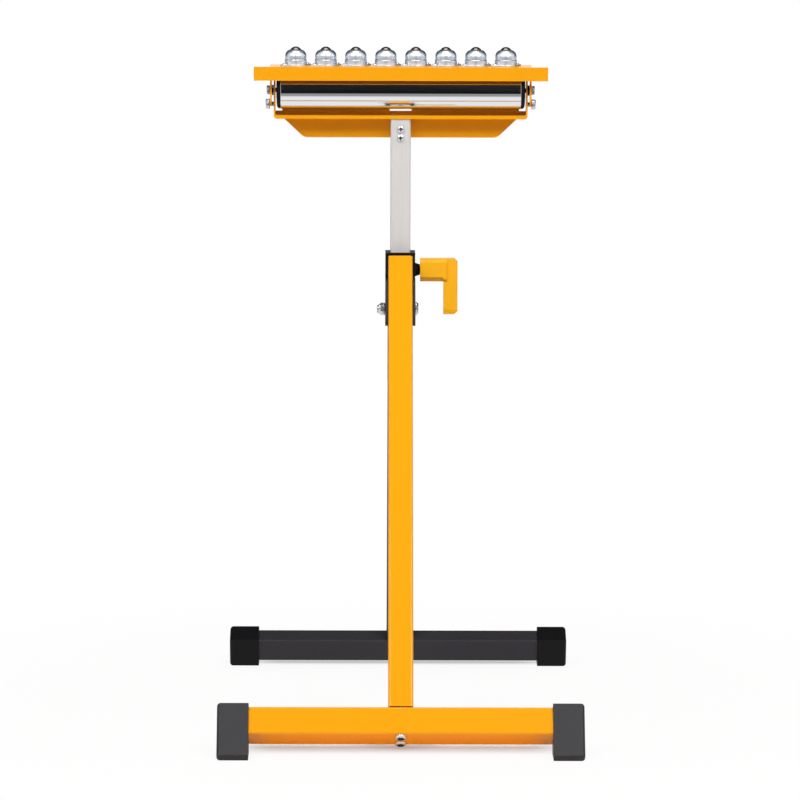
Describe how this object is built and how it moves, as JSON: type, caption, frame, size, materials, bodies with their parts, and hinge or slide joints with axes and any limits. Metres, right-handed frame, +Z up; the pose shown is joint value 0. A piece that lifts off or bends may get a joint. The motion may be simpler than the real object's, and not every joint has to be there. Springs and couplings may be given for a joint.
{
  "type": "folding roller stand",
  "caption": "Folding A-frame work stand: a clamped sliding mast between two hinged legs carries a chrome roller under a flip-back plate of ball transfer units.",
  "frame": {"origin": "centre of the stand's bounding box on the floor", "axes": "+Z up along the mast, -Y towards the front leg, +X to the right seen from the front"},
  "size_m": [0.4354, 0.661, 0.8164],
  "materials": {
    "yellow_paint": "satin powder coat",
    "yellow_plastic": "semi-gloss moulded plastic",
    "black_paint": "satin powder coat",
    "black_plastic": "satin moulded plastic",
    "cap_plastic": "satin moulded plastic",
    "mast_steel": "galvanised tube",
    "zinc": "bright zinc plate",
    "chrome": "polished chrome"
  },
  "bodies": {
    "base": {"sleeve": "black_paint", "hinge_plate_left": "black_paint", "hinge_plate_right": "black_paint", "collar": "black_plastic", "front_pivot_bolt": "zinc", "front_pivot_nut": "zinc", "rear_pivot_bolt": "zinc", "rear_pivot_nut": "zinc"},
    "front_leg": {"front_leg": "yellow_paint", "front_leg_plug": "zinc", "front_foot_bar": "yellow_paint", "front_foot_cap_left": "cap_plastic", "front_foot_cap_right": "cap_plastic", "front_foot_bolt_1": "zinc", "front_foot_bolt_2": "zinc"},
    "rear_leg": {"rear_leg": "black_paint", "rear_leg_plug": "zinc", "rear_foot_bar": "black_paint", "rear_foot_cap_left": "cap_plastic", "rear_foot_cap_right": "cap_plastic", "rear_foot_bolt_1": "zinc", "rear_foot_bolt_2": "zinc"},
    "clamp": {"clamp_knob": "yellow_plastic", "clamp_screw": "zinc"},
    "head": {"mast": "mast_steel", "mast_plug": "black_plastic", "head_bracket": "yellow_paint", "head_bolt_upper": "zinc", "head_bolt_lower": "zinc", "head_nut_upper": "zinc", "head_nut_lower": "zinc", "axle_bolt_left": "zinc", "axle_bolt_right": "zinc", "pivot_spacer_left": "black_plastic", "pivot_spacer_right": "black_plastic", "lock_bolt_left": "zinc", "lock_bolt_right": "zinc"},
    "roller": {"roller_tube": "chrome", "roller_cap_left": "black_plastic", "roller_cap_right": "black_plastic"},
    "plate": {"ball_plate": "yellow_paint", "ball_cup_1": "zinc", "ball_cup_2": "zinc", "ball_cup_3": "zinc", "ball_cup_4": "zinc", "ball_cup_5": "zinc", "ball_cup_6": "zinc", "ball_cup_7": "zinc", "ball_cup_8": "zinc"},
    "ball_1": {"ball_1": "chrome"},
    "ball_2": {"ball_2": "chrome"},
    "ball_3": {"ball_3": "chrome"},
    "ball_4": {"ball_4": "chrome"},
    "ball_5": {"ball_5": "chrome"},
    "ball_6": {"ball_6": "chrome"},
    "ball_7": {"ball_7": "chrome"},
    "ball_8": {"ball_8": "chrome"}
  },
  "joints": [
    {"name": "mast_slide", "type": "slide", "parent": "base", "child": "head", "axis": [0, 0, 1], "range_m": [-0.105, 0.27]},
    {"name": "front_leg_fold", "type": "hinge", "parent": "base", "child": "front_leg", "pos_m": [0, 0.01929, 0.498], "axis": [1, 0, 0], "range_deg": [0, 33.5]},
    {"name": "rear_leg_fold", "type": "hinge", "parent": "base", "child": "rear_leg", "pos_m": [0, 0.14111, 0.482], "axis": [-1, 0, 0], "range_deg": [0, 19.7]},
    {"name": "clamp_turn", "type": "hinge", "parent": "base", "child": "clamp", "pos_m": [0.0368, 0.08685, 0.5388], "axis": [1, 0, 0], "range_deg": [-170, 170]},
    {"name": "plate_flip", "type": "hinge", "parent": "head", "child": "plate", "pos_m": [0, 0.07885, 0.7626], "axis": [-1, 0, 0], "range_deg": [0, 95]},
    {"name": "roller_spin", "type": "hinge", "parent": "head", "child": "roller", "pos_m": [0, 0.07885, 0.7626], "axis": [1, 0, 0], "continuous": true},
    {"name": "ball_1_roll", "type": "hinge", "parent": "plate", "child": "ball_1", "pos_m": [-0.12985, 0.07885, 0.8085], "axis": [1, 0, 0], "continuous": true},
    {"name": "ball_2_roll", "type": "hinge", "parent": "plate", "child": "ball_2", "pos_m": [-0.09275, 0.07885, 0.8085], "axis": [1, 0, 0], "continuous": true},
    {"name": "ball_3_roll", "type": "hinge", "parent": "plate", "child": "ball_3", "pos_m": [-0.05565, 0.07885, 0.8085], "axis": [1, 0, 0], "continuous": true},
    {"name": "ball_4_roll", "type": "hinge", "parent": "plate", "child": "ball_4", "pos_m": [-0.01855, 0.07885, 0.8085], "axis": [1, 0, 0], "continuous": true},
    {"name": "ball_5_roll", "type": "hinge", "parent": "plate", "child": "ball_5", "pos_m": [0.01855, 0.07885, 0.8085], "axis": [1, 0, 0], "continuous": true},
    {"name": "ball_6_roll", "type": "hinge", "parent": "plate", "child": "ball_6", "pos_m": [0.05565, 0.07885, 0.8085], "axis": [1, 0, 0], "continuous": true},
    {"name": "ball_7_roll", "type": "hinge", "parent": "plate", "child": "ball_7", "pos_m": [0.09275, 0.07885, 0.8085], "axis": [1, 0, 0], "continuous": true},
    {"name": "ball_8_roll", "type": "hinge", "parent": "plate", "child": "ball_8", "pos_m": [0.12985, 0.07885, 0.8085], "axis": [1, 0, 0], "continuous": true}
  ]
}
